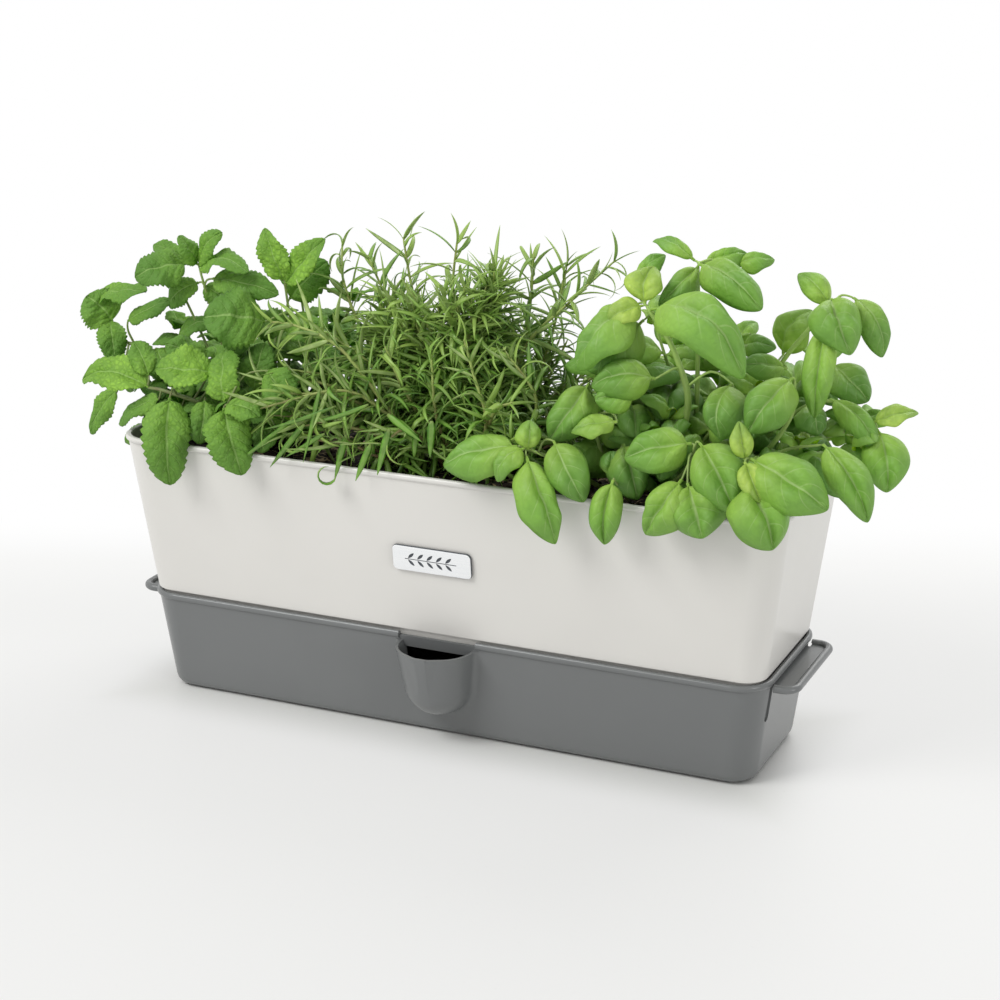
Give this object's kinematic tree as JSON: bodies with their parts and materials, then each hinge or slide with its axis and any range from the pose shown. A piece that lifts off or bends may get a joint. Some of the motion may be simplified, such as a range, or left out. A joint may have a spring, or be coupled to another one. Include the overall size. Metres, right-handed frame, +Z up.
{
  "type": "self watering planter",
  "caption": "Long off-white herb trough nested in a grey water reservoir with a front filling spout and end grips, with felt wicks and compost planted with mint, rosemary and basil.",
  "frame": {"origin": "on the table under the middle of the planter, in the plane of its feet", "axes": "+X along the planter to the right, -Y towards the front with the filling spout and nameplate, +Z up"},
  "size_m": [0.532, 0.168, 0.314],
  "materials": {
    "reservoir_tray": "satin grey moulded plastic",
    "tray_feet": "black rubber pads",
    "planter_trough": "glossy warm off-white moulded plastic",
    "nameplate": "polished plate with a shallow engraved sprig",
    "nameplate_tape": "black foam tape",
    "felt": "grey needled felt",
    "root_ball": "compost bound by pale roots",
    "compost": "dark crumbly potting compost",
    "mint_stems": "green and purple-brown square stems",
    "rosemary_stems": "woody grey-brown stems",
    "basil_stems": "fleshy pale green stems",
    "mint_foliage": "matt veined toothed leaves",
    "rosemary_foliage": "dark green needles, paler underneath",
    "basil_foliage": "glossy cupped bright green leaves"
  },
  "bodies": {
    "reservoir": {"reservoir_tray": "reservoir_tray", "tray_feet": "tray_feet"},
    "planter": {"planter_trough": "planter_trough", "nameplate": "nameplate", "nameplate_tape": "nameplate_tape", "wick_mat_left": "felt", "wick_mat_middle": "felt", "wick_mat_right": "felt", "potting_compost": "compost"},
    "mint": {"mint_root_ball": "root_ball", "mint_stems": "mint_stems", "mint_foliage": "mint_foliage"},
    "rosemary": {"rosemary_root_ball": "root_ball", "rosemary_stems": "rosemary_stems", "rosemary_foliage": "rosemary_foliage"},
    "basil": {"basil_root_ball": "root_ball", "basil_stems": "basil_stems", "basil_foliage": "basil_foliage"}
  },
  "joints": [
    {"name": "planter_lift", "type": "slide", "parent": "reservoir", "child": "planter", "axis": [0, 0, 1], "range_m": [0, 0.12]},
    {"name": "mint_lift", "type": "slide", "parent": "planter", "child": "mint", "axis": [0, 0, 1], "range_m": [0, 0.12]},
    {"name": "rosemary_lift", "type": "slide", "parent": "planter", "child": "rosemary", "axis": [0, 0, 1], "range_m": [0, 0.12]},
    {"name": "basil_lift", "type": "slide", "parent": "planter", "child": "basil", "axis": [0, 0, 1], "range_m": [0, 0.12]}
  ]
}
